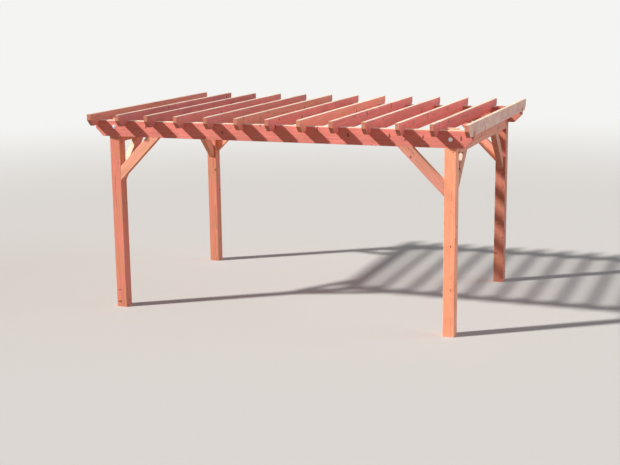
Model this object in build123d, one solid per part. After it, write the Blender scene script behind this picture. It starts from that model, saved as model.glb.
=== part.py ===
"""Wooden garden pergola: an open frame of squared timber, in millimetres.

X runs along the two long beams, Y from the front beam to the back beam, and Z is up.
The origin is on the ground, at the middle of the four posts.
"""
from build123d import *
from math import sqrt
import os

# Posts
POST_WIDTH = 140.0
POST_SPREAD_X = 4537.0  # from outside face to outside face, along the long beams
POST_SPREAD_Y = 2974.0  # from the front faces to the back faces
POST_HORN = 19.0  # the post's top stands this much above the beam's top

# Long beams, front and back
BEAM_THICKNESS = 102.0
BEAM_DEPTH = 203.0
BEAM_UNDERSIDE = 2250.0  # height above the ground
BEAM_OVERHANG = 195.5  # past the outside face of the posts
BEAM_CLIP = 102.0  # corner cut off the underside of each end, at 45 degrees

# Side beams, left and right
SIDE_BEAM_THICKNESS = 102.0
SIDE_BEAM_DEPTH = 203.0
SIDE_BEAM_DROP = 80.0  # from the long beams' underside down to the side beams' underside

# Rafters
RAFTER_COUNT = 13
RAFTER_THICKNESS = 51.0
RAFTER_DEPTH = 152.0
RAFTER_OVERHANG = 210.0  # past the outer faces of the long beams
RAFTER_NOTCH = 59.0  # depth of the notch that sits over each long beam
RAFTER_CLIP = 76.0  # corner cut off the underside of each tail, at 45 degrees

# Knee braces, all at 45 degrees
BRACE_THICKNESS = 76.0
BRACE_WIDTH = 127.0
LONG_BRACE_REACH = 565.0  # along the post and along the long beam
SIDE_BRACE_REACH = 565.0  # along the post and along the side beam

# Sawn edges, softened by hand along the grain
EASED_EDGE = 3.0

BEAM_TOP = BEAM_UNDERSIDE + BEAM_DEPTH
BEAM_LENGTH = POST_SPREAD_X + 2 * BEAM_OVERHANG
SIDE_BEAM_UNDERSIDE = BEAM_UNDERSIDE - SIDE_BEAM_DROP
RAFTER_UNDERSIDE = BEAM_TOP - RAFTER_NOTCH
RAFTER_LENGTH = POST_SPREAD_Y + 2 * RAFTER_OVERHANG
RAFTER_SPACING = (BEAM_LENGTH - RAFTER_THICKNESS) / (RAFTER_COUNT - 1)
POST_OUTER_X = POST_SPREAD_X / 2
POST_OUTER_Y = POST_SPREAD_Y / 2
POST_INNER_X = POST_OUTER_X - POST_WIDTH
POST_INNER_Y = POST_OUTER_Y - POST_WIDTH

UP_FROM_BOTTOM = (Align.CENTER, Align.CENTER, Align.MIN)


def ease(timber, axis):
    """Soften the long edges of a squared timber that runs along an axis."""
    return chamfer(timber.edges().filter_by(axis), EASED_EDGE)


def clip_ends(timber, axis, size):
    """Cut off the lower corner of both ends, across the grain."""
    across = timber.edges().filter_by(axis)
    return chamfer(across.group_by(Axis.Z)[0], size)


def back_right_post():
    """A post whose top is rabbeted on its outer side, so that the long beam rests on a shoulder."""
    height = BEAM_TOP + POST_HORN
    post = ease(Box(POST_WIDTH, POST_WIDTH, height, align=UP_FROM_BOTTOM), Axis.Z)
    post = Pos(POST_OUTER_X - POST_WIDTH / 2, POST_OUTER_Y - POST_WIDTH / 2, 0) * post
    rabbet = Box(2 * POST_WIDTH, BEAM_THICKNESS, height, align=UP_FROM_BOTTOM)
    seat = Pos(POST_OUTER_X, POST_OUTER_Y - BEAM_THICKNESS / 2, BEAM_UNDERSIDE)
    return post - seat * rabbet


def back_beam():
    """The long beam over the back posts, flush with their back faces and clipped at both ends."""
    beam = Box(BEAM_LENGTH, BEAM_THICKNESS, BEAM_DEPTH, align=UP_FROM_BOTTOM)
    beam = ease(clip_ends(beam, Axis.Y, BEAM_CLIP), Axis.X)
    return Pos(0, POST_OUTER_Y - BEAM_THICKNESS / 2, BEAM_UNDERSIDE) * beam


def right_side_beam():
    """The lower beam that runs from the front post to the back post, flush with their outer faces."""
    beam = Box(SIDE_BEAM_THICKNESS, 2 * POST_INNER_Y, SIDE_BEAM_DEPTH, align=UP_FROM_BOTTOM)
    place = Pos(POST_OUTER_X - SIDE_BEAM_THICKNESS / 2, 0, SIDE_BEAM_UNDERSIDE)
    return place * ease(beam, Axis.Y)


def rafter(number):
    """A rafter on edge, notched over both long beams, with clipped tails."""
    stick = Box(RAFTER_THICKNESS, RAFTER_LENGTH, RAFTER_DEPTH, align=UP_FROM_BOTTOM)
    stick = ease(clip_ends(stick, Axis.X, RAFTER_CLIP), Axis.Y)
    offset = (number - (RAFTER_COUNT + 1) / 2) * RAFTER_SPACING
    stick = Pos(offset, 0, RAFTER_UNDERSIDE) * stick
    notch = Box(2 * RAFTER_THICKNESS, BEAM_THICKNESS, 2 * RAFTER_NOTCH)
    for side in (-1, 1):
        stick -= Pos(offset, side * (POST_OUTER_Y - BEAM_THICKNESS / 2), RAFTER_UNDERSIDE) * notch
    return stick


def brace(reach):
    """A knee brace in the XZ plane: it fills the corner between a post's face at x = 0,
    which runs down, and a beam's underside at z = 0, which runs towards -x."""
    foot = BRACE_WIDTH * sqrt(2)
    outline = Polyline((0, -reach), (0, foot - reach), (foot - reach, 0), (-reach, 0), close=True)
    stick = extrude(Plane.XZ * make_face(outline), BRACE_THICKNESS / 2, both=True)
    slope = Axis((0, 0, -reach), (-1, 0, 1))
    return chamfer(stick.edges().filter_by(slope), EASED_EDGE)


def back_right_long_brace():
    """The brace under the long beam, flush with the back faces of the post and the beam."""
    place = Pos(POST_INNER_X, POST_OUTER_Y - BRACE_THICKNESS / 2, BEAM_UNDERSIDE)
    return place * brace(LONG_BRACE_REACH)


def back_right_side_brace():
    """The brace under the side beam, centred on the post's width."""
    place = Pos(POST_OUTER_X - POST_WIDTH / 2, POST_INNER_Y, SIDE_BEAM_UNDERSIDE)
    return place * Rot(0, 0, 90) * brace(SIDE_BRACE_REACH)


def four_corners(name, piece):
    """The same piece at all four posts, mirrored from the back right one."""
    left = mirror(piece, about=Plane.YZ)
    return {
        f"back_right_{name}": piece,
        f"back_left_{name}": left,
        f"front_right_{name}": mirror(piece, about=Plane.XZ),
        f"front_left_{name}": mirror(left, about=Plane.XZ),
    }


def build():
    """Every piece of the pergola, by name."""
    pieces = {}
    pieces.update(four_corners("post", back_right_post()))
    pieces["back_beam"] = back_beam()
    pieces["front_beam"] = mirror(pieces["back_beam"], about=Plane.XZ)
    pieces["right_side_beam"] = right_side_beam()
    pieces["left_side_beam"] = mirror(pieces["right_side_beam"], about=Plane.YZ)
    pieces.update(four_corners("long_brace", back_right_long_brace()))
    pieces.update(four_corners("side_brace", back_right_side_brace()))
    for number in range(1, RAFTER_COUNT + 1):
        pieces[f"rafter_{number:02d}"] = rafter(number)
    return pieces


os.makedirs("parts", exist_ok=True)
for name, piece in build().items():
    export_step(piece, f"parts/{name}.step")
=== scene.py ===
"""Finishes a packed garden pergola: stained timber, zinc bolts and screws, and a plain studio.

Lengths are in metres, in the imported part's own frame, unless their names end in mm or MM.
"""
import math
import random

import bpy
import numpy as np
from mathutils import Euler, Matrix, Vector


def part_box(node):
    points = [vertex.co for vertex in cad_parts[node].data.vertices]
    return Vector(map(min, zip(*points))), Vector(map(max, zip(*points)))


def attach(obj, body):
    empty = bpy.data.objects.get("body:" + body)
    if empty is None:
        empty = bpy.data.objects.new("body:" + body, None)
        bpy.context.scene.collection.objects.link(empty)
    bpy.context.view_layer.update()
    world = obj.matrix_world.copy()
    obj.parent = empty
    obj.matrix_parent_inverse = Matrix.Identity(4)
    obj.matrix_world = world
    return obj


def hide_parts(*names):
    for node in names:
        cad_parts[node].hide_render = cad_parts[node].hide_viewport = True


bl_info = {
    "name": "Garden pergola finish",
    "version": (1, 0, 0),
    "blender": (4, 5, 0),
    "location": "View3D > Sidebar > Pergola",
    "description": "Finishes the timbers of a garden pergola and adds its bolts, screws and studio",
    "category": "Object",
}

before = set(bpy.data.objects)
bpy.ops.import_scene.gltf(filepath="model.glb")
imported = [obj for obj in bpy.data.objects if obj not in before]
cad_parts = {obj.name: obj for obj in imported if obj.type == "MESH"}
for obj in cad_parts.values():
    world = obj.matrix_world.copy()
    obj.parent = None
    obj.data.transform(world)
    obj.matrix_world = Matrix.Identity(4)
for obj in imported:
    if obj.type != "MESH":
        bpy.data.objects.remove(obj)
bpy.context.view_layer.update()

MM = 0.001
BODY = "root"

POSTS = sorted(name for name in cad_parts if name.endswith("_post"))
LONG_BEAMS = ["back_beam", "front_beam"]
SIDE_BEAMS = ["left_side_beam", "right_side_beam"]
RAFTERS = sorted(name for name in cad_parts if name.startswith("rafter_"))
LONG_BRACES = sorted(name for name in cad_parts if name.endswith("_long_brace"))
SIDE_BRACES = sorted(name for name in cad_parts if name.endswith("_side_brace"))

X_AXIS = Vector((1, 0, 0))
Y_AXIS = Vector((0, 1, 0))
Z_AXIS = Vector((0, 0, 1))

# The CAD timbers' long edges are cut back this far
EASED_EDGE = 3 * MM

# Edges sharper than the first are rounded, and edges flatter than the second are shaded smooth
SHARP_OVER = math.radians(25)
SMOOTH_UNDER = math.radians(35)

# The values between which a noise pattern mostly lies
NOISE_LOW = 0.3
NOISE_HIGH = 0.7

# How far the pith of its tree lies from a timber's middle: up to this across it, and just this through it.
# A post or a beam holds the heart of the tree, and a brace or a rafter is sawn beside it.
PITH_OFF_MIDDLE = {
    "post": (20 * MM, 20 * MM),
    "beam": (30 * MM, 10 * MM),
    "brace": (30 * MM, 45 * MM),
    "rafter": (30 * MM, 90 * MM),
}

# Each timber comes from its own place along a trunk of this length, so that no two look alike
TRUNK_LENGTH = 200

# The draw that puts the pale and the dark, the orange and the crimson timbers where they really are. Its
# darker timbers are partly their stain and partly painted shade from trees.
STAIN_DRAW = 1900874

# The middle of the one check that the photograph shows in a brace
CHECKED_BRACE = "front_right_long_brace"
BRACE_CHECK_PLACE = Vector((1.722, -1.487, 2.216))

# The ways in which the lamps shine. The key lays the rafters' shadows across the front beam as in the
# photograph, and the fill lights the sides that the key leaves dark.
KEY_WAY = Vector((0.665, 0.46, -0.59))
FILL_WAY = Vector((-0.91, -0.20, -0.36))

# The photograph's viewpoint, from the lines of the posts, beams and rafters
CAMERA_PLACE = Vector((5.473, -14.569, 4.034))
CAMERA_TURN_DEG = 20.96
CAMERA_TILT_DEG = 78.4
CAMERA_ROLL_DEG = -0.71
CAMERA_LENS_MM = 68.2
CAMERA_SENSOR_MM = 36.0


def linear(code):
    """The linear colour, with alpha, of an sRGB hex code."""
    channels = [int(code[i : i + 2], 16) / 255 for i in (0, 2, 4)]
    return [c / 12.92 if c <= 0.04045 else ((c + 0.055) / 1.055) ** 2.4 for c in channels] + [1.0]


def colour(label, code, description):
    """A colour that a user can change."""
    return bpy.props.FloatVectorProperty(
        name=label, description=description, subtype="COLOR", size=4, min=0.0, max=1.0, default=linear(code)
    )


def length(label, default, description):
    """A length that a user can change."""
    return bpy.props.FloatProperty(
        name=label, description=description, subtype="DISTANCE", unit="LENGTH", min=0.0, default=default
    )


def angle(label, degrees, description):
    """An angle that a user can change."""
    return bpy.props.FloatProperty(
        name=label, description=description, subtype="ANGLE", min=0.0, default=math.radians(degrees)
    )


def amount(label, default, description, **limits):
    """A share or a strength that a user can change."""
    return bpy.props.FloatProperty(name=label, description=description, min=0.0, default=default, **limits)


class TimberSettings(bpy.types.PropertyGroup):
    """Shapes and colours of the timbers."""

    arris_round: length("Arris round", 1.5 * MM, "Radius worn on the edges of the softened arrises")
    surface_wave: length("Surface wave", 1.6 * MM, "How far the faces rise and fall")
    wave_size: length("Wave size", 0.22, "Distance between the high places of a face")
    slice_step: length("Slice step", 0.05, "Distance between the cross sections of a timber's mesh")
    ring_spacing: length("Ring spacing", 9.0 * MM, "A year's growth, drawn coarse enough to show")
    knot_spacing: length("Knot spacing", 0.14, "Distance between the places where a knot may be")
    knot_radius: length("Knot radius", 16.0 * MM, "Half the width of a large knot")
    check_length: length("Check length", 0.55, "Length of a usual drying check along the grain")
    check_width: length("Check width", 3.0 * MM, "Width of a drying check at the surface")
    check_depth: length("Check depth", 16.0 * MM, "Depth of a drying check")
    check_share: amount("Check share", 0.3, "Share of the faces that have split", max=1.0)
    early_wood: colour("Early wood", "FBA98A", "Stained soft part of a growth ring")
    late_wood: colour("Late wood", "D07158", "Stained hard part of a growth ring")
    orange_stain: colour("Orange stain", "FFFFF6", "Tint of the stain where it leans to orange")
    crimson_stain: colour("Crimson stain", "EFC2E0", "Tint of the stain where it leans to crimson")
    knot_wood: colour("Knot", "8A4331", "Stained knot wood, and the hard part of the rings in sawn ends")
    # painted shade inside the drying checks, and the knot's own dark rim
    check_shade_and_knot_rim: colour("Check", "4A1E17", "Inside of a drying check, and the rim of a knot")
    end_grain: colour("End grain", "C98462", "Sawn ends, which drink more stain")
    # partly the tops' paling by sun and rain, partly painted sunlight on the faces that look up
    bleached_and_sunlit: colour("Bleached", "F3E2CA", "Top faces, paled by sun and rain")
    # partly stain that rain has washed away, partly painted cool sky light on the outermost faces
    rain_and_sky_grey: colour("Greyed", "F6D8C2", "Outermost faces, from which rain has washed the stain")


class FixingSettings(bpy.types.PropertyGroup):
    """Sizes and colour of the bolts and screws."""

    bolt_diameter: length("Bolt diameter", 12.7 * MM, "Through bolt at each post")
    washer_diameter: length("Washer diameter", 50.0 * MM, "Round washer under each head and nut")
    washer_thickness: length("Washer thickness", 3.0 * MM, "Thickness of a washer for timber")
    head_width: length("Head width", 19.0 * MM, "Across the flats of a bolt head or nut")
    head_height: length("Head height", 8.5 * MM, "Height of a bolt head or nut")
    screw_head: length("Screw head", 14.0 * MM, "Diameter of a structural screw's head")
    brace_screw_in: length("Brace screw", 62.0 * MM, "Along a brace's lower face, from tip to screws")
    left_bolt_lift: length("Left bolt lift", 22.0 * MM, "How much higher the front left bolt is")
    zinc: colour("Zinc", "E6E5EE", "Hot-dip galvanised steel")


class StudioSettings(bpy.types.PropertyGroup):
    """Floor, background and lights."""

    floor_size: length("Floor size", 400.0, "Side of the square floor")
    fade_start: length("Fade start", 8.0, "How far out the floor begins to fade into the background")
    fade_end: length("Fade end", 24.0, "How far out the floor has become background")
    floor_colour: colour("Floor", "CDCDCC", "Plain pale floor")
    floor_bounce: colour("Floor bounce", "957F70", "The floor as it lights the timbers' shaded sides")
    background: colour("Background", "F4F4F2", "Pale surroundings, as the camera sees them")
    key_strength: amount("Key", 4.6, "Strength of the key light")
    key_colour: colour("Key colour", "FFF9F2", "Warm white of the key light")
    key_angle: angle("Key size", 3, "Apparent width of the key light, which softens its shadows")
    fill_strength: amount("Fill", 1.2, "Strength of the fill light")
    fill_colour: colour("Fill colour", "D8EAFF", "Cool white of the fill light")
    fill_angle: angle("Fill size", 50, "Apparent width of the fill light, too soft for a plain shadow")
    sky_strength: amount("Sky", 0.2, "Strength of the room's light")
    sky_colour: colour("Sky colour", "FFF2E8", "Warm white of the room's light")


def select_only(*pieces):
    """Leave edit mode, deselect everything, and select these pieces, the last one active."""
    if bpy.context.object and bpy.context.object.mode != "OBJECT":
        bpy.ops.object.mode_set(mode="OBJECT")
    bpy.ops.object.select_all(action="DESELECT")
    for piece in pieces:
        piece.select_set(True)
        bpy.context.view_layer.objects.active = piece


def apply_modifier(piece, kind, **settings):
    """Add a modifier with its settings and apply it."""
    select_only(piece)
    modifier = piece.modifiers.new(kind.title(), kind)
    for name, value in settings.items():
        setattr(modifier, name, value)
    bpy.ops.object.modifier_apply(modifier=modifier.name)


def set_in_place(piece):
    """Put a piece's place, turn and size in its mesh, so that its object sits at the origin."""
    select_only(piece)
    bpy.ops.object.transform_apply(location=True, rotation=True, scale=True)


def joined(pieces, name):
    """These pieces as one piece."""
    select_only(*pieces)
    bpy.ops.object.join()
    whole = bpy.context.object
    whole.name = name
    return whole


def finish_piece(piece, slot, material, *nodes):
    """Give a finished piece its material and its body, and hide the CAD nodes that it stands for. The slot
    is not used.
    """
    piece.data.materials.clear()
    piece.data.materials.append(material)
    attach(piece, BODY)
    if nodes:
        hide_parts(*nodes)


def add(tree, kind, inputs=None, **settings):
    """Add a shader node. Inputs holds each socket's value, or the socket that feeds it.

    Map Range has its value at 0, the range that this is in at 1 and 2, and the range that it goes to at 3
    and 4. Mix has its factor at 0, and what it mixes at 2 and 3, or at 6 and 7 for colours.
    """
    node = tree.nodes.new(kind)
    for name, value in settings.items():
        setattr(node, name, value)
    for key, value in (inputs or {}).items():
        if isinstance(value, bpy.types.NodeSocket):
            tree.links.new(value, node.inputs[key])
        else:
            node.inputs[key].default_value = value
    return node


def new_material(name):
    """An empty material and its node tree."""
    material = bpy.data.materials.new(name)
    material.use_nodes = True
    material.node_tree.nodes.clear()
    return material, material.node_tree


def drawn_out(tree, grain, across_mm, along_mm, detail):
    """A noise whose clouds are this many millimetres wide across the grain and long along it."""
    across, along = 1 / (across_mm * MM), 1 / (along_mm * MM)
    place = add(tree, "ShaderNodeMapping", {"Vector": grain, "Scale": (across, across, along)}).outputs[0]
    return add(tree, "ShaderNodeTexNoise", {"Vector": place, "Scale": 1.0, "Detail": detail}).outputs


def round_the_pith(tree, grain):
    """Each point's way out from the pith of its tree. The trunk was not straight, so the pith wanders
    within 55 mm in long bends, and within 3 mm in ripples."""
    way_out = grain
    for across_mm, along_mm, detail, reach in ((400, 1300, 2.0, 55 * MM), (60, 150, 1.0, 3 * MM)):
        bends = drawn_out(tree, grain, across_mm, along_mm, detail)
        way_out = add(
            tree, "ShaderNodeVectorMath", {0: bends["Color"], 1: (reach, reach, 0.0), 2: way_out},
            operation="MULTIPLY_ADD",
        ).outputs[0]
    return add(tree, "ShaderNodeVectorMath", {0: way_out, 1: (1, 1, 0)}, operation="MULTIPLY").outputs[0]


def knot_distance(tree, grain, outward, trunk, spacing):
    """How far each point is from the nearest limb. Limbs leave the pith square to it, so that they are
    spots on a cylinder round the pith, and a face that lies far outside that cylinder cuts them long."""
    apart = add(tree, "ShaderNodeSeparateXYZ", {0: grain})
    lengthwise = add(tree, "ShaderNodeCombineXYZ", {"Z": apart.outputs["Z"]})
    limb = add(
        tree, "ShaderNodeVectorMath", {0: outward, 1: (trunk, trunk, 0.0), 2: lengthwise.outputs[0]},
        operation="MULTIPLY_ADD",
    )
    # the outline of a limb strays within 7 mm, in bays of 16 mm
    ragged = add(tree, "ShaderNodeTexNoise", {"Vector": grain, "Scale": 1 / (16 * MM), "Detail": 2.0})
    limb = add(
        tree, "ShaderNodeVectorMath", {0: ragged.outputs["Color"], 1: (7 * MM,) * 3, 2: limb.outputs[0]},
        operation="MULTIPLY_ADD",
    )
    cells = add(tree, "ShaderNodeTexVoronoi", {"Vector": limb.outputs[0], "Scale": 1 / spacing})
    return add(
        tree, "ShaderNodeMath", {0: cells.outputs["Distance"], 1: spacing}, operation="MULTIPLY"
    ).outputs[0]


def growth_rings(tree, grain, across, knot, timber):
    """How dark each point is in its ring: pale spring wood that hardens to dark late wood and then stops.
    The rings differ in width from year to year, and go round the knots."""
    radius = add(tree, "ShaderNodeVectorMath", {0: across}, operation="LENGTH").outputs["Value"]
    # the wood swells by 18 mm where a limb passes through it
    swell = add(
        tree, "ShaderNodeMapRange", {0: knot, 1: timber.knot_radius * 4, 2: 0.0, 3: 0.0, 4: 18 * MM},
        interpolation_type="SMOOTHERSTEP",
    )
    years = add(tree, "ShaderNodeMath", {0: radius, 1: swell.outputs[0]}, operation="ADD")
    # a ring is not quite round, and strays within 22 mm
    uneven = drawn_out(tree, grain, 110, 1400, 1.0)["Fac"]
    years = add(
        tree, "ShaderNodeMath", {0: uneven, 1: 22 * MM, 2: years.outputs[0]}, operation="MULTIPLY_ADD"
    )
    years = add(tree, "ShaderNodeMath", {0: years.outputs[0], 1: timber.ring_spacing}, operation="DIVIDE")
    # fat and lean years take turns, and shift a ring by up to three widths
    fat_years = add(
        tree, "ShaderNodeTexNoise", {"W": years.outputs[0], "Scale": 0.3, "Detail": 1.0},
        noise_dimensions="1D",
    )
    years = add(
        tree, "ShaderNodeMath", {0: fat_years.outputs["Fac"], 1: 3.0, 2: years.outputs[0]},
        operation="MULTIPLY_ADD",
    )
    # late wood begins a quarter of the way into its year, and is darkest at 0.88 of it
    season = add(tree, "ShaderNodeMath", {0: years.outputs[0]}, operation="FRACT").outputs[0]
    hardens = add(tree, "ShaderNodeMapRange", {0: season, 1: 0.25, 2: 0.88, 3: 0.0, 4: 1.0})
    hardens = add(tree, "ShaderNodeMath", {0: hardens.outputs[0], 1: 1.8}, operation="POWER")
    stops = add(tree, "ShaderNodeMapRange", {0: season, 1: 0.88, 2: 1.0, 3: 1.0, 4: 0.0})
    return add(
        tree, "ShaderNodeMath", {0: hardens.outputs[0], 1: stops.outputs[0]}, operation="MINIMUM"
    ).outputs[0]


def fine_checks(tree, grain, outward, end_cut):
    """Hairline drying checks, which open in places: along the grain in the faces, and out from the pith in
    the sawn ends. A real one is under 1 mm wide, and these are drawn 1 to 2 mm wide so that they show."""
    lines = drawn_out(tree, grain, 21, 900, 1.0)["Fac"]
    # outward is 1 long, so this noise changes about seven times in each radian
    rays = add(tree, "ShaderNodeTexNoise", {"Vector": outward, "Scale": 7.0, "Detail": 1.0}).outputs["Fac"]
    line = add(tree, "ShaderNodeMix", {0: end_cut, 2: lines, 3: rays}, data_type="FLOAT")
    # a check lies where the noise is very near its middle value, and is open only in places
    off_line = add(tree, "ShaderNodeMath", {0: line.outputs[0], 1: 0.5}, operation="SUBTRACT")
    off_line = add(tree, "ShaderNodeMath", {0: off_line.outputs[0]}, operation="ABSOLUTE")
    thin = add(tree, "ShaderNodeMapRange", {0: off_line.outputs[0], 1: 0.010, 2: 0.003, 3: 0.0, 4: 1.0})
    places = drawn_out(tree, grain, 70, 1800, 1.0)["Fac"]
    opened = add(tree, "ShaderNodeMapRange", {0: places, 1: 0.64, 2: 0.74, 3: 0.0, 4: 1.0})
    return add(
        tree, "ShaderNodeMath", {0: thin.outputs[0], 1: opened.outputs[0]}, operation="MULTIPLY"
    ).outputs[0]


def uneven_tone(tree, fibres, streaks, patches, depth):
    """A grey by which the stain is darker or lighter, in places and on the whole timber."""
    tone = 1.0
    for pattern, low, high in (
        (fibres, 0.88, 1.12),
        (streaks, 0.93, 1.07),
        (patches, 0.88, 1.12),
        (depth, 0.70, 1.22),
    ):
        share = add(tree, "ShaderNodeMapRange", {0: pattern, 1: NOISE_LOW, 2: NOISE_HIGH, 3: low, 4: high})
        tone = add(tree, "ShaderNodeMath", {0: tone, 1: share.outputs[0]}, operation="MULTIPLY").outputs[0]
    return add(tree, "ShaderNodeCombineColor", {0: tone, 1: tone, 2: tone}).outputs[0]


def stained_rings(tree, rings, patches, hue, redness, tone, timber):
    """The growth rings under a stain that leans to orange or to crimson, in places and by the timber."""
    wood = add(
        tree, "ShaderNodeMix", {0: rings, 6: timber.early_wood[:], 7: timber.late_wood[:]}, data_type="RGBA"
    ).outputs[2]
    lean = add(tree, "ShaderNodeMapRange", {0: patches, 1: NOISE_LOW, 2: NOISE_HIGH, 3: -0.35, 4: 0.35})
    lean = add(tree, "ShaderNodeMath", {0: hue, 1: lean.outputs[0]}, operation="ADD")
    lean = add(tree, "ShaderNodeMath", {0: lean.outputs[0], 1: redness}, operation="ADD", use_clamp=True)
    stain = add(
        tree, "ShaderNodeMix", {0: lean.outputs[0], 6: timber.orange_stain[:], 7: timber.crimson_stain[:]},
        data_type="RGBA",
    ).outputs[2]
    for layer in (stain, tone):
        wood = add(
            tree, "ShaderNodeMix", {0: 1.0, 6: wood, 7: layer}, data_type="RGBA", blend_type="MULTIPLY"
        ).outputs[2]
    return wood


def with_sawn_ends(tree, wood, rings, end_cut, timber):
    """The wood, with ends that have drunk more stain."""
    ends = add(
        tree, "ShaderNodeMix", {0: rings, 6: timber.end_grain[:], 7: timber.knot_wood[:]}, data_type="RGBA"
    ).outputs[2]
    share = add(tree, "ShaderNodeMath", {0: end_cut, 1: 0.65}, operation="MULTIPLY").outputs[0]
    return add(tree, "ShaderNodeMix", {0: share, 6: wood, 7: ends}, data_type="RGBA").outputs[2]


def weathered_and_lit(tree, wood, tone, patches, arris, rain_and_sky_grey, washed, timber):
    """The wood after a summer of sun and rain, which pale what looks up and the outermost faces, with
    painted light on top of that: sunlight on the faces that look up and cool sky light on the outermost
    faces. The arrises are paler too, and all of it more in some patches than in others."""
    facing = add(tree, "ShaderNodeNewGeometry")
    facing = add(tree, "ShaderNodeSeparateXYZ", {0: facing.outputs["Normal"]})
    # the faces that look out to the side are paled: partly rain-washed stain, partly painted cool sky light
    # on that side
    outer = add(tree, "ShaderNodeMath", {0: facing.outputs["X"], 1: rain_and_sky_grey}, operation="MULTIPLY")
    outer = add(tree, "ShaderNodeMath", {0: outer.outputs[0], 1: washed}, operation="MAXIMUM")
    # faces that look up turn cream: partly paled by sun and rain, partly painted sunlight on the tops
    upward = add(tree, "ShaderNodeMapRange", {0: facing.outputs["Z"], 1: 0.2, 2: 0.75, 3: 0.0, 4: 0.95})
    # the arrises take three tenths of the paler top colour
    paled_arris = add(tree, "ShaderNodeMath", {0: arris, 1: 0.3}, operation="MULTIPLY")
    pale = add(tree, "ShaderNodeMath", {0: upward.outputs[0], 1: paled_arris.outputs[0]}, operation="MAXIMUM")
    patchy = add(tree, "ShaderNodeMapRange", {0: patches, 1: 0.35, 2: 0.65, 3: 0.8, 4: 1.1})
    for share, faded in ((outer, timber.rain_and_sky_grey), (pale, timber.bleached_and_sunlit)):
        share = add(
            tree, "ShaderNodeMath", {0: share.outputs[0], 1: patchy.outputs[0]}, operation="MULTIPLY",
            use_clamp=True,
        )
        faded = add(
            tree, "ShaderNodeMix", {0: 0.6, 6: faded[:], 7: tone}, data_type="RGBA", blend_type="MULTIPLY"
        )
        wood = add(
            tree, "ShaderNodeMix", {0: share.outputs[0], 6: wood, 7: faded.outputs[2]}, data_type="RGBA"
        ).outputs[2]
    return wood


def with_knots(tree, wood, knot, timber):
    """The wood with its knots, and how far each point is in a knot. A knot is brown, darkens to its rim,
    and fades where it only grazes a face."""
    radius = timber.knot_radius
    in_knot = add(
        tree, "ShaderNodeMapRange", {0: knot, 1: radius * 1.15, 2: radius * 0.65, 3: 0.0, 4: 0.85},
        interpolation_type="SMOOTHSTEP",
    ).outputs[0]
    rim = add(tree, "ShaderNodeMapRange", {0: knot, 1: radius * 0.4, 2: radius * 0.8})
    knotty = add(
        tree, "ShaderNodeMix", {0: rim.outputs[0], 6: timber.knot_wood[:], 7: timber.check_shade_and_knot_rim[:]},
        data_type="RGBA",
    ).outputs[2]
    wood = add(tree, "ShaderNodeMix", {0: in_knot, 6: wood, 7: knotty}, data_type="RGBA").outputs[2]
    return wood, in_knot


def stained_fir(name, timber, redness, washed, trunk):
    """Fir under a red, half-clear stain.

    Sawing and planing left nearly flat faces with soft arrises. The stain lets rings, knots and checks show
    through, lies unevenly, and has gone into the sawn ends. Sun and rain have paled the faces that look up
    and the outermost faces, and painted light adds to both: sunlight on the faces that look up, and cool
    sky light on the outermost faces. Redness says how far the stain leans from orange to crimson, washed is
    the share of it that has gone from every face, and trunk is how far from the pith a limb is cut round.
    """
    material, tree = new_material(name)
    grain = add(tree, "ShaderNodeAttribute", attribute_name="grain").outputs["Vector"]
    board = add(tree, "ShaderNodeAttribute", attribute_name="board").outputs["Vector"]
    depth, hue, rain_and_sky_grey = add(tree, "ShaderNodeSeparateXYZ", {0: board}).outputs
    end_cut, split, arris = (
        add(tree, "ShaderNodeAttribute", attribute_name=mark).outputs["Fac"]
        for mark in ("end_cut", "split", "arris")
    )

    across = round_the_pith(tree, grain)
    outward = add(tree, "ShaderNodeVectorMath", {0: across}, operation="NORMALIZE").outputs[0]
    knot = knot_distance(tree, grain, outward, trunk, timber.knot_spacing)
    late = growth_rings(tree, grain, across, knot, timber)
    check = fine_checks(tree, grain, outward, end_cut)
    # fibres are 0.05 mm wide, and are drawn as bundles of 4 mm so that they show
    fibres = drawn_out(tree, grain, 4, 150, 4.0)["Fac"]
    streaks = drawn_out(tree, grain, 24, 800, 3.0)["Fac"]
    patches = drawn_out(tree, grain, 130, 260, 3.0)["Fac"]

    # the stain leaves six tenths of the rings' contrast
    rings = add(tree, "ShaderNodeMath", {0: late, 1: 0.6}, operation="MULTIPLY").outputs[0]
    tone = uneven_tone(tree, fibres, streaks, patches, depth)
    wood = stained_rings(tree, rings, patches, hue, redness, tone, timber)
    wood = with_sawn_ends(tree, wood, rings, end_cut, timber)
    wood = weathered_and_lit(tree, wood, tone, patches, arris, rain_and_sky_grey, washed, timber)
    wood, in_knot = with_knots(tree, wood, knot, timber)
    # the faces that the cut checks leave, and the hairline checks, take the check colour as painted shade
    # inside the cracks
    opened = add(tree, "ShaderNodeMath", {0: check, 1: split}, operation="MAXIMUM").outputs[0]
    wood = add(
        tree, "ShaderNodeMix", {0: opened, 6: wood, 7: timber.check_shade_and_knot_rim[:]}, data_type="RGBA"
    ).outputs[2]

    # hard late wood and knots stand up, fibres are rough, and checks are open
    relief = 0.0
    for height, much in ((late, 0.3), (fibres, 0.8), (check, -2.5), (in_knot, 0.5)):
        relief = add(
            tree, "ShaderNodeMath", {0: height, 1: much, 2: relief}, operation="MULTIPLY_ADD"
        ).outputs[0]
    bump = add(tree, "ShaderNodeBump", {"Height": relief, "Strength": 0.55, "Distance": 0.6 * MM})
    sheen = add(tree, "ShaderNodeMapRange", {0: fibres, 1: NOISE_LOW, 2: NOISE_HIGH, 3: 0.56, 4: 0.74})
    surface = add(
        tree, "ShaderNodeBsdfPrincipled",
        {"Base Color": wood, "Roughness": sheen.outputs[0], "IOR": 1.5, "Normal": bump.outputs[0]},
    )
    add(tree, "ShaderNodeOutputMaterial", {"Surface": surface.outputs[0]})
    return material


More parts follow.
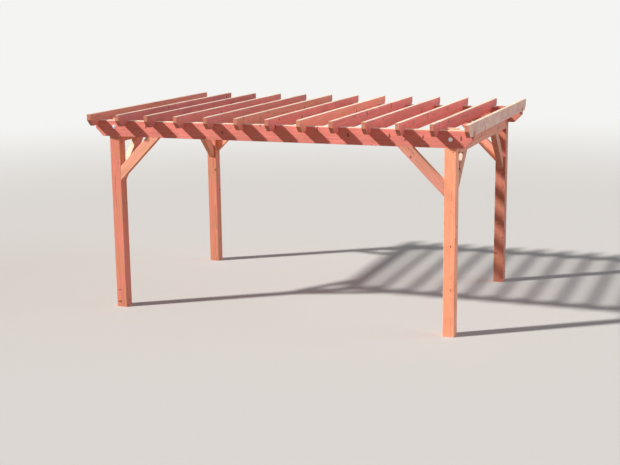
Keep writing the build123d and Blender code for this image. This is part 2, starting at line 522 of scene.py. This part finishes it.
def galvanised_steel(fixings):
    """Hot-dip galvanised steel: matt and pale grey, with the faint spangle of the zinc's 6 mm crystals."""
    material, tree = new_material("galvanised_steel")
    place = add(tree, "ShaderNodeTexCoord").outputs["Object"]
    spangle = add(tree, "ShaderNodeTexVoronoi", {"Vector": place, "Scale": 1 / (6 * MM)})
    crystal = add(tree, "ShaderNodeSeparateColor", {0: spangle.outputs["Color"]})
    tone = add(tree, "ShaderNodeMapRange", {0: crystal.outputs[0], 3: 0.84, 4: 1.0}).outputs[0]
    grey = add(tree, "ShaderNodeCombineColor", {0: tone, 1: tone, 2: tone})
    zinc = add(
        tree, "ShaderNodeMix", {0: 1.0, 6: fixings.zinc[:], 7: grey.outputs[0]}, data_type="RGBA",
        blend_type="MULTIPLY",
    )
    matt = add(tree, "ShaderNodeMapRange", {0: crystal.outputs[1], 3: 0.42, 4: 0.6})
    surface = add(
        tree, "ShaderNodeBsdfPrincipled",
        {"Base Color": zinc.outputs[2], "Metallic": 0.7, "Roughness": matt.outputs[0]},
    )
    add(tree, "ShaderNodeOutputMaterial", {"Surface": surface.outputs[0]})
    return material


def grain_frame(name):
    """A timber's middle, and the directions across, through and along its grain, as three rows."""
    low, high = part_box(name)
    middle = (low + high) / 2
    if name in POSTS:
        along, through = Z_AXIS, Y_AXIS
    elif name in LONG_BEAMS:
        along, through = X_AXIS, Y_AXIS
    elif name in LONG_BRACES:
        along, through = Vector((-math.copysign(1, middle.x), 0, 1)).normalized(), Y_AXIS
    elif name in SIDE_BRACES:
        along, through = Vector((0, -math.copysign(1, middle.y), 1)).normalized(), X_AXIS
    else:
        along, through = Y_AXIS, X_AXIS
    return middle, Matrix((along.cross(through), through, along))


def pith_beside(name, chance):
    """Where the pith of the tree lies from a timber's middle: across it, through it, and down the trunk."""
    across, through = next(off for kind, off in PITH_OFF_MIDDLE.items() if kind in name)
    aside = chance.uniform(-across, across)
    beside = chance.choice((-through, through))
    return Vector((aside, beside, -chance.uniform(0, TRUNK_LENGTH)))


def board_look(name):
    """How a timber differs from the rest: how deep its stain is, which for some timbers also carries
    painted shade, how far it leans from orange to crimson, and how far its face that looks to the right or,
    below zero, to the left is paled, partly by rain and partly as painted cool sky light."""
    middle = grain_frame(name)[0]
    rain_and_sky_grey = 0.0
    if name in (RAFTERS[0], RAFTERS[-1]):
        rain_and_sky_grey = 0.8
    elif name in POSTS + SIDE_BEAMS:
        rain_and_sky_grey = 0.2
    chance = random.Random(f"{name} {STAIN_DRAW}")
    depth = chance.uniform(NOISE_LOW, NOISE_HIGH)
    return depth, chance.uniform(-0.45, 0.45), math.copysign(rain_and_sky_grey, middle.x)


def mark_grain(piece, name, pith):
    """Write where each point lies in its tree, how the timber differs from the rest, which faces are sawn
    ends, and which points are on an arris."""
    middle, turn = grain_frame(name)
    mesh = piece.data
    rows = np.array(turn)
    places = np.empty(len(mesh.vertices) * 3)
    mesh.vertices.foreach_get("co", places)
    inside = (places.reshape(-1, 3) - np.array(middle)) @ rows.T
    grain = mesh.attributes.new("grain", "FLOAT_VECTOR", "POINT")
    grain.data.foreach_set("vector", (inside - np.array(pith)).ravel())
    board = mesh.attributes.new("board", "FLOAT_VECTOR", "POINT")
    board.data.foreach_set("vector", np.tile(board_look(name), len(inside)))

    # a face is end grain by how far it looks along the grain: not under 0.3, and wholly from 0.6
    normals = np.empty(len(mesh.polygons) * 3)
    mesh.polygons.foreach_get("normal", normals)
    lengthwise = np.abs(normals.reshape(-1, 3) @ rows[2])
    end_cut = mesh.attributes.new("end_cut", "FLOAT", "FACE")
    end_cut.data.foreach_set("value", np.clip((lengthwise - 0.3) / 0.3, 0, 1))

    sides = inside[:, :2]
    from_side = np.minimum(sides - sides.min(axis=0), sides.max(axis=0) - sides).max(axis=1)
    arris = mesh.attributes.new("arris", "FLOAT", "POINT")
    arris.data.foreach_set("value", np.clip((EASED_EDGE + MM - from_side) / (2 * MM), 0, 1))


def turned_to(sideways, inward, along):
    """The turn that takes local X, Y and Z to these three directions."""
    return Matrix((sideways, inward, along)).transposed().to_euler()


def clouds(name, size):
    """A cloudy pattern, which a modifier reads as a height."""
    texture = bpy.data.textures.get(name) or bpy.data.textures.new(name, "CLOUDS")
    texture.noise_scale = size
    texture.noise_depth = 2
    return texture


def drying_check(place, along, inward, size):
    """A pointed, crooked sliver, which a timber loses where it has split."""
    width, depth, stretch = size
    bpy.ops.mesh.primitive_uv_sphere_add(
        segments=8, ring_count=24, radius=0.5, location=place, scale=(width, 2 * depth, stretch),
        rotation=turned_to(inward.cross(along), inward, along),
    )
    sliver = bpy.context.object
    select_only(sliver)
    bpy.ops.object.transform_apply(location=False, rotation=False, scale=True)
    apply_modifier(
        sliver, "DISPLACE", texture=clouds("crooked_split", 0.05), texture_coords="GLOBAL", direction="X",
        strength=3 * width,
    )
    set_in_place(sliver)
    return sliver


def face_checks(name, timber, chance):
    """Long checks in the faces of a timber, along its grain."""
    middle, rows = grain_frame(name)
    low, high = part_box(name)
    half = [(high - low).dot(Vector(map(abs, row))) / 2 for row in rows]
    along = rows[2]
    slivers = []
    for side, reach, room in ((rows[0], half[0], half[1]), (rows[1], half[1], half[0])):
        for way in (-1, 1):
            stretch = timber.check_length * chance.uniform(0.4, 1.6)
            width = timber.check_width * chance.uniform(0.6, 1.1)
            place = middle + way * side * reach
            place += along.cross(side) * room * chance.uniform(-0.45, 0.45)
            place += along * (half[2] - stretch) * chance.uniform(-0.8, 0.8)
            if chance.random() < timber.check_share:
                depth = min(timber.check_depth, 0.6 * reach)
                slivers.append(drying_check(place, along, -way * side, (width, depth, stretch)))
    return slivers


def end_checks(piece, name, pith, timber, chance):
    """Short checks in the sawn ends of a timber, which run out from the pith. The posts' feet have none."""
    middle, (across, through, along) = grain_frame(name)
    heart = middle + across * pith.x + through * pith.y
    slivers = []
    for outward in (-along, along):
        sawn = [
            face for face in piece.data.polygons
            if face.normal.dot(outward) > 0.99 and face.center.z > timber.check_depth
        ]
        if not sawn:
            continue
        end = max(sawn, key=lambda face: face.area)
        reach = math.sqrt(end.area) / 2
        aside = across * chance.uniform(-0.4, 0.4) + through * chance.uniform(-0.2, 0.2)
        place = end.center + aside * reach
        ray = place - heart
        ray = (ray - along * ray.dot(along)).normalized()
        width = timber.check_width * chance.uniform(0.5, 0.8)
        slivers.append(drying_check(place, ray, -outward, (width, timber.check_depth, reach)))
    return slivers


def split(piece, slivers):
    """Cut slivers out of a timber, and mark the faces that they leave."""
    if not slivers:
        return
    for body, inside in [(piece, 0.0)] + [(sliver, 1.0) for sliver in slivers]:
        mark = body.data.attributes.new("split", "FLOAT", "FACE")
        mark.data.foreach_set("value", np.full(len(body.data.polygons), inside))
    cutter = joined(slivers, "cutter")
    apply_modifier(piece, "BOOLEAN", object=cutter, operation="DIFFERENCE", solver="EXACT")
    bpy.data.objects.remove(cutter)


def cut_slices(name, step):
    """Cut the edited timber across each axis at even steps, so that its faces can rise and fall."""
    low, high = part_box(name)
    for axis in (X_AXIS, Y_AXIS, Z_AXIS):
        start, end = low.dot(axis), high.dot(axis)
        count = max(1, round((end - start) / step))
        for number in range(1, count):
            bpy.ops.mesh.select_all(action="SELECT")
            bpy.ops.mesh.bisect(plane_co=axis * (start + (end - start) * number / count), plane_no=axis)


def dressed_timber(name, slot, material, timber):
    """Make a copy of a CAD timber with rounded arrises, drying checks and an uneven, marked surface."""
    piece = bpy.data.objects.new(f"{name}_timber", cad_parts[name].data.copy())
    bpy.context.scene.collection.objects.link(piece)
    select_only(piece)
    bpy.ops.object.mode_set(mode="EDIT")
    bpy.ops.mesh.select_all(action="SELECT")
    bpy.ops.mesh.remove_doubles(threshold=0.01 * MM)
    bpy.ops.mesh.dissolve_limited(angle_limit=math.radians(1))
    bpy.ops.object.mode_set(mode="OBJECT")
    apply_modifier(
        piece, "BEVEL", width=timber.arris_round, segments=2, limit_method="ANGLE", angle_limit=SHARP_OVER
    )

    chance = random.Random(f"{name} in fir")
    pith = pith_beside(name, chance)
    if name not in LONG_BRACES + SIDE_BRACES:
        split(piece, face_checks(name, timber, chance) + end_checks(piece, name, pith, timber, chance))
    if name == CHECKED_BRACE:
        size = (2 * timber.check_width, timber.check_depth, 0.3 * timber.check_length)
        split(piece, [drying_check(BRACE_CHECK_PLACE, grain_frame(name)[1][2], Y_AXIS, size)])

    select_only(piece)
    bpy.ops.object.mode_set(mode="EDIT")
    cut_slices(name, timber.slice_step * (1))
    bpy.ops.object.mode_set(mode="OBJECT")
    mark_grain(piece, name, pith)
    apply_modifier(
        piece, "DISPLACE", texture=clouds("uneven_surface", timber.wave_size), texture_coords="LOCAL",
        strength=timber.surface_wave,
    )
    bpy.ops.object.shade_smooth_by_angle(angle=SMOOTH_UNDER)
    # the flat faces stay flat, and only the rounded arrises between them bend the light
    apply_modifier(piece, "WEIGHTED_NORMAL", mode="FACE_AREA", keep_sharp=True)
    finish_piece(piece, slot, material, name)


class PERGOLA_OT_posts(bpy.types.Operator):
    """Finish the four square posts, whose tops are rabbeted for the long beams."""

    bl_idname = "pergola.posts"
    bl_label = "Posts"

    def execute(self, context):
        timber = context.scene.pergola_timber
        orange = stained_fir("stained_fir_posts", timber, redness=0.15, washed=0.05, trunk=70 * MM)
        for name in POSTS:
            dressed_timber(name, "post_timber", orange, timber)
        return {"FINISHED"}


class PERGOLA_OT_beams(bpy.types.Operator):
    """Finish the two long beams and the two lower side beams."""

    bl_idname = "pergola.beams"
    bl_label = "Beams"

    def execute(self, context):
        timber = context.scene.pergola_timber
        crimson = stained_fir("stained_fir_long_beams", timber, redness=0.85, washed=0.12, trunk=70 * MM)
        orange = stained_fir("stained_fir_side_beams", timber, redness=0.1, washed=0.0, trunk=70 * MM)
        for name in LONG_BEAMS:
            dressed_timber(name, "beam_timber", crimson, timber)
        for name in SIDE_BEAMS:
            dressed_timber(name, "beam_timber", orange, timber)
        return {"FINISHED"}


class PERGOLA_OT_rafters(bpy.types.Operator):
    """Finish the rafters, notched over both long beams and clipped at their tails."""

    bl_idname = "pergola.rafters"
    bl_label = "Rafters"

    def execute(self, context):
        timber = context.scene.pergola_timber
        crimson = stained_fir("stained_fir_rafters", timber, redness=0.85, washed=0.08, trunk=40 * MM)
        for name in RAFTERS:
            dressed_timber(name, "rafter_timber", crimson, timber)
        return {"FINISHED"}


class PERGOLA_OT_braces(bpy.types.Operator):
    """Finish the eight knee braces."""

    bl_idname = "pergola.braces"
    bl_label = "Knee braces"

    def execute(self, context):
        timber = context.scene.pergola_timber
        paler = stained_fir("stained_fir_braces", timber, redness=0.45, washed=0.25, trunk=50 * MM)
        for name in LONG_BRACES + SIDE_BRACES:
            dressed_timber(name, "brace_timber", paler, timber)
        return {"FINISHED"}


def edit(piece, kind, wanted):
    """Open a piece in edit mode, with only the wanted of its vertices or polygons selected."""
    select_only(piece)
    bpy.context.tool_settings.mesh_select_mode = [kind == "vertices", False, kind == "polygons"]
    for part in (piece.data.vertices, piece.data.edges, piece.data.polygons):
        part.foreach_set("select", [False] * len(part))
    for item in getattr(piece.data, kind):
        item.select = wanted(item)
    bpy.ops.object.mode_set(mode="EDIT")


def looks(face, way):
    """Whether a face looks up, or down where way is -1."""
    return face.normal.z * way > 0.9


def timber_washer(fixings, base):
    """A round washer with softened rims, slightly dished round its hole."""
    radius = fixings.washer_diameter / 2
    thick = fixings.washer_thickness
    dish_radius = 0.62 * fixings.head_width
    bpy.ops.mesh.primitive_cylinder_add(
        vertices=48, radius=radius, depth=thick, location=(0, 0, base + thick / 2)
    )
    washer = bpy.context.object
    set_in_place(washer)
    edit(washer, "polygons", lambda face: looks(face, -1) or looks(face, 1))
    bpy.ops.mesh.bevel(offset=0.15 * thick, segments=2, affect="EDGES")
    for way in (-1, 1):
        edit(washer, "polygons", lambda face: looks(face, way) and face.area > radius**2)
        bpy.ops.mesh.inset(thickness=radius - dish_radius)
        bpy.ops.mesh.inset(thickness=0.3 * MM)
        bpy.ops.transform.translate(value=(0, 0, -way * 0.5 * MM))
    bpy.ops.object.mode_set(mode="OBJECT")
    return washer


def hex_block(fixings, base, way):
    """A bolt head or a nut, whose outer corners are turned off."""
    width, height = fixings.head_width, fixings.head_height
    bpy.ops.mesh.primitive_cylinder_add(
        vertices=6, radius=width / math.sqrt(3), depth=height, location=(0, 0, base + way * height / 2)
    )
    block = bpy.context.object
    set_in_place(block)
    edit(block, "vertices", lambda point: (point.co.z - base) * way > height / 2)
    bpy.ops.mesh.bevel(offset=0.16 * width, affect="VERTICES")
    edit(block, "polygons", lambda face: looks(face, way))
    bpy.ops.mesh.inset(thickness=0.09 * width)
    bpy.ops.transform.translate(value=(0, 0, way * 0.4 * MM))
    bpy.ops.object.mode_set(mode="OBJECT")
    apply_modifier(block, "BEVEL", width=0.3 * MM, segments=1, limit_method="ANGLE")
    return block


def thread_end(fixings, base, turns):
    """The end of a bolt below its nut, with the ridges of its thread and a chamfered tip."""
    pitch = 1.95 * MM
    root, tip = 0.86, 0.8
    bpy.ops.mesh.primitive_circle_add(
        vertices=24, radius=fixings.bolt_diameter / 2, fill_type="NGON", location=(0, 0, base)
    )
    shank = bpy.context.object
    set_in_place(shank)
    bpy.ops.object.mode_set(mode="EDIT")
    bpy.ops.mesh.select_all(action="SELECT")
    level = base
    for size in [root, 1 / root] * turns + [tip]:
        level -= pitch / 2
        bpy.ops.mesh.extrude_region_move(TRANSFORM_OT_translate={"value": (0, 0, -pitch / 2)})
        bpy.ops.transform.resize(value=(size, size, 1), center_override=(0, 0, level))
    bpy.ops.mesh.select_all(action="SELECT")
    bpy.ops.mesh.normals_make_consistent(inside=False)
    bpy.ops.object.mode_set(mode="OBJECT")
    return shank


def through_bolt(fixings, grip):
    """A hex bolt along +Z, with its head's washer on the plane z = 0 and its nut's washer at z = -grip."""
    thick = fixings.washer_thickness
    parts = [
        timber_washer(fixings, 0.0),
        hex_block(fixings, thick, 1),
        timber_washer(fixings, -grip - thick),
        hex_block(fixings, -grip - thick, -1),
        thread_end(fixings, -grip - thick - fixings.head_height + 1 * MM, 5),
    ]
    bolt = joined(parts, "through_bolt")
    bpy.ops.object.shade_smooth_by_angle(angle=SMOOTH_UNDER)
    return bolt


def placed_copy(piece, place, way, spin):
    """A copy of a piece, with its own mesh, whose +Z looks along way and which is spun about it."""
    copy = bpy.data.objects.new(piece.name, piece.data.copy())
    bpy.context.scene.collection.objects.link(copy)
    copy.rotation_mode = "QUATERNION"
    copy.rotation_quaternion = way.to_track_quat("Z", "X") @ Euler((0, 0, spin)).to_quaternion()
    copy.location = place
    set_in_place(copy)
    return copy


class PERGOLA_OT_bolts(bpy.types.Operator):
    """Fit the through bolt, with its washers and nut, that holds each long beam in its post's rabbet."""

    bl_idname = "pergola.bolts"
    bl_label = "Corner bolts"

    def execute(self, context):
        fixings = context.scene.pergola_fixings
        material = galvanised_steel(fixings)
        post_low, post_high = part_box(POSTS[0])
        model = through_bolt(fixings, post_high.y - post_low.y)
        chance = random.Random("bolts")
        for name in POSTS:
            low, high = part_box(name)
            beam_low, beam_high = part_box("front_beam" if high.y < 0 else "back_beam")
            out = -Y_AXIS if high.y < 0 else Y_AXIS
            lift = fixings.left_bolt_lift if name == "front_left_post" else 0
            height = (beam_low.z + beam_high.z) / 2 + lift
            place = Vector(((low.x + high.x) / 2, low.y if high.y < 0 else high.y, height))
            bolt = placed_copy(model, place, out, chance.uniform(0, math.pi / 3))
            bolt.name = name.replace("post", "corner_bolt")
            finish_piece(bolt, "zinc_fixings", material)
        bpy.data.objects.remove(model)
        return {"FINISHED"}


def screw_head(fixings):
    """A structural screw's flat washer head on the plane z = 0, with a socket in its crown."""
    radius = fixings.screw_head / 2
    bpy.ops.mesh.primitive_cylinder_add(
        vertices=20, radius=radius, depth=1.6 * MM, location=(0, 0, 0.2 * MM)
    )
    head = bpy.context.object
    set_in_place(head)
    edit(head, "polygons", lambda face: looks(face, 1))
    bpy.ops.mesh.bevel(offset=0.5 * MM, segments=1, affect="EDGES")
    edit(head, "polygons", lambda face: looks(face, 1) and face.area > radius**2)
    bpy.ops.mesh.inset(thickness=0.35 * radius)
    bpy.ops.transform.translate(value=(0, 0, 0.7 * MM))
    bpy.ops.mesh.inset(thickness=0.2 * radius)
    bpy.ops.mesh.extrude_region_move(TRANSFORM_OT_translate={"value": (0, 0, -1.3 * MM)})
    bpy.ops.object.mode_set(mode="OBJECT")
    bpy.ops.object.shade_smooth_by_angle(angle=SMOOTH_UNDER)
    return head


def rafter_screws(model, chance):
    """One screw in the top of each rafter over each long beam."""
    heads = []
    for name in RAFTERS:
        low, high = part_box(name)
        for beam in LONG_BEAMS:
            beam_low, beam_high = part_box(beam)
            place = Vector(((low.x + high.x) / 2, (beam_low.y + beam_high.y) / 2, high.z))
            heads.append(placed_copy(model, place, Z_AXIS, chance.uniform(0, 1)))
    return heads


def brace_screws(model, name, fixings, chance):
    """Two screws at each end of a knee brace, square to its lower face and on into the post or beam."""
    low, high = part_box(name)
    middle, (_, through, along) = grain_frame(name)
    inwards = Vector((along.x, along.y, 0)).normalized()
    down = (inwards - Z_AXIS).normalized()
    reach = high.z - low.z
    foot = middle - inwards * reach / 2 - Z_AXIS * reach / 2
    thick = (high - low).dot(Vector(map(abs, through)))
    heads = []
    for distance in (fixings.brace_screw_in, reach * math.sqrt(2) - fixings.brace_screw_in):
        for side in (-1, 1):
            place = foot + along * distance + through * side * thick / 4
            heads.append(placed_copy(model, place, down, chance.uniform(0, 1)))
    return heads


class PERGOLA_OT_screws(bpy.types.Operator):
    """Drive the screws that hold the rafters to the long beams and the braces to the frame."""

    bl_idname = "pergola.screws"
    bl_label = "Screws"

    def execute(self, context):
        fixings = context.scene.pergola_fixings
        material = galvanised_steel(fixings)
        model = screw_head(fixings)
        chance = random.Random("screws")
        finish_piece(joined(rafter_screws(model, chance), "rafter_screws"), "zinc_fixings", material)
        for kind, names in (("long_brace_screws", LONG_BRACES), ("side_brace_screws", SIDE_BRACES)):
            heads = [head for name in names for head in brace_screws(model, name, fixings, chance)]
            finish_piece(joined(heads, kind), "zinc_fixings", material)
        bpy.data.objects.remove(model)
        return {"FINISHED"}


def seen_by_eye(tree):
    """One for the rays that show the studio, straight or mirrored, and zero for those that only light."""
    rays = add(tree, "ShaderNodeLightPath").outputs
    seen = rays["Is Camera Ray"]
    for kind in ("Is Glossy Ray", "Is Transmission Ray"):
        seen = add(tree, "ShaderNodeMath", {0: seen, 1: rays[kind]}, operation="MAXIMUM").outputs[0]
    return seen


def studio_floor(studio):
    """Plain pale floor, which fades far away into the background that the camera sees."""
    material, tree = new_material("studio_floor")
    place = add(tree, "ShaderNodeTexCoord").outputs["Object"]
    away = add(tree, "ShaderNodeVectorMath", {0: place}, operation="LENGTH").outputs["Value"]
    far = add(
        tree, "ShaderNodeMapRange", {0: away, 1: studio.fade_start, 2: studio.fade_end, 3: 0.0, 4: 1.0},
        interpolation_type="SMOOTHSTEP",
    )
    seen = seen_by_eye(tree)
    fade = add(tree, "ShaderNodeMath", {0: far.outputs[0], 1: seen}, operation="MULTIPLY")
    shade = add(
        tree, "ShaderNodeMix", {0: seen, 6: studio.floor_bounce[:], 7: studio.floor_colour[:]},
        data_type="RGBA",
    )
    near = add(tree, "ShaderNodeBsdfDiffuse", {"Color": shade.outputs[2]})
    beyond = add(tree, "ShaderNodeEmission", {"Color": studio.background[:], "Strength": 1.0})
    mixed = add(tree, "ShaderNodeMixShader", {0: fade.outputs[0], 1: near.outputs[0], 2: beyond.outputs[0]})
    add(tree, "ShaderNodeOutputMaterial", {"Surface": mixed.outputs[0]})
    return material


def studio_sky(studio):
    """Even room light, with the background's own colour where the camera or a reflection sees it."""
    world = bpy.data.worlds.new("studio_sky")
    world.use_nodes = True
    tree = world.node_tree
    tree.nodes.clear()
    sky = {"Color": studio.sky_colour[:], "Strength": studio.sky_strength}
    lit = add(tree, "ShaderNodeBackground", sky)
    shown = add(tree, "ShaderNodeBackground", {"Color": studio.background[:], "Strength": 1.0})
    mixed = add(tree, "ShaderNodeMixShader", {0: seen_by_eye(tree), 1: lit.outputs[0], 2: shown.outputs[0]})
    add(tree, "ShaderNodeOutputWorld", {"Surface": mixed.outputs[0]})
    return world


def hang_lamp(name, way, strength, size, tint):
    """Hang a lamp so far away that all its light comes from one side."""
    bpy.ops.object.light_add(type="SUN", rotation=way.to_track_quat("-Z", "Y").to_euler())
    lamp = bpy.context.object
    lamp.name = name
    lamp.data.energy = strength
    lamp.data.angle = size
    lamp.data.color = tint[:3]


def photo_camera(reach):
    """A camera where the photograph was taken from, which sees this far."""
    turn = (
        Euler((0, 0, math.radians(CAMERA_TURN_DEG))).to_matrix()
        @ Euler((math.radians(CAMERA_TILT_DEG), 0, 0)).to_matrix()
        @ Euler((0, 0, math.radians(CAMERA_ROLL_DEG))).to_matrix()
    )
    bpy.ops.object.camera_add(location=CAMERA_PLACE, rotation=turn.to_euler())
    camera = bpy.context.object
    camera.name = "photo_camera"
    camera.data.lens = CAMERA_LENS_MM
    camera.data.sensor_width = CAMERA_SENSOR_MM
    camera.data.clip_end = reach
    return camera


class PERGOLA_OT_studio(bpy.types.Operator):
    """Lay the floor, hang the lights and set up the camera."""

    bl_idname = "pergola.studio"
    bl_label = "Studio"

    def execute(self, context):
        studio = context.scene.pergola_studio
        select_only()
        bpy.ops.mesh.primitive_plane_add(size=studio.floor_size)
        floor = context.object
        floor.name = "studio_floor"
        floor.data.materials.append(studio_floor(studio))
        context.scene.world = studio_sky(studio)
        hang_lamp("key_light", KEY_WAY, studio.key_strength, studio.key_angle, studio.key_colour)
        hang_lamp("fill_light", FILL_WAY, studio.fill_strength, studio.fill_angle, studio.fill_colour)
        context.scene.camera = photo_camera(2 * studio.floor_size)
        context.scene.view_settings.view_transform = "Standard"
        return {"FINISHED"}


STEPS = (
    PERGOLA_OT_posts,
    PERGOLA_OT_beams,
    PERGOLA_OT_rafters,
    PERGOLA_OT_braces,
    PERGOLA_OT_bolts,
    PERGOLA_OT_screws,
    PERGOLA_OT_studio,
)
GROUPS = {
    "pergola_timber": TimberSettings,
    "pergola_fixings": FixingSettings,
    "pergola_studio": StudioSettings,
}


class PERGOLA_PT_panel(bpy.types.Panel):
    """The pergola's sizes, colours and steps."""

    bl_label = "Garden pergola"
    bl_idname = "PERGOLA_PT_panel"
    bl_space_type = "VIEW_3D"
    bl_region_type = "UI"
    bl_category = "Pergola"

    def draw(self, context):
        for name in GROUPS:
            group = getattr(context.scene, name)
            box = self.layout.box()
            for setting in group.__annotations__:
                box.prop(group, setting)
        for step in STEPS:
            self.layout.operator(step.bl_idname)


CLASSES = (*GROUPS.values(), *STEPS, PERGOLA_PT_panel)


def register():
    """Register the classes, and give the scene its settings."""
    for kind in CLASSES:
        bpy.utils.register_class(kind)
    for name, group in GROUPS.items():
        setattr(bpy.types.Scene, name, bpy.props.PointerProperty(type=group))


def unregister():
    """Take the settings and the classes away again."""
    for name in GROUPS:
        delattr(bpy.types.Scene, name)
    for kind in reversed(CLASSES):
        bpy.utils.unregister_class(kind)


def main():
    """Register the add-on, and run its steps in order."""
    register()
    bpy.ops.object.select_all(action="DESELECT")
    bpy.ops.pergola.posts()
    bpy.ops.pergola.beams()
    bpy.ops.pergola.rafters()
    bpy.ops.pergola.braces()
    bpy.ops.pergola.bolts()
    bpy.ops.pergola.screws()
    bpy.ops.pergola.studio()
    select_only()


if __name__ == "__main__":
    main()
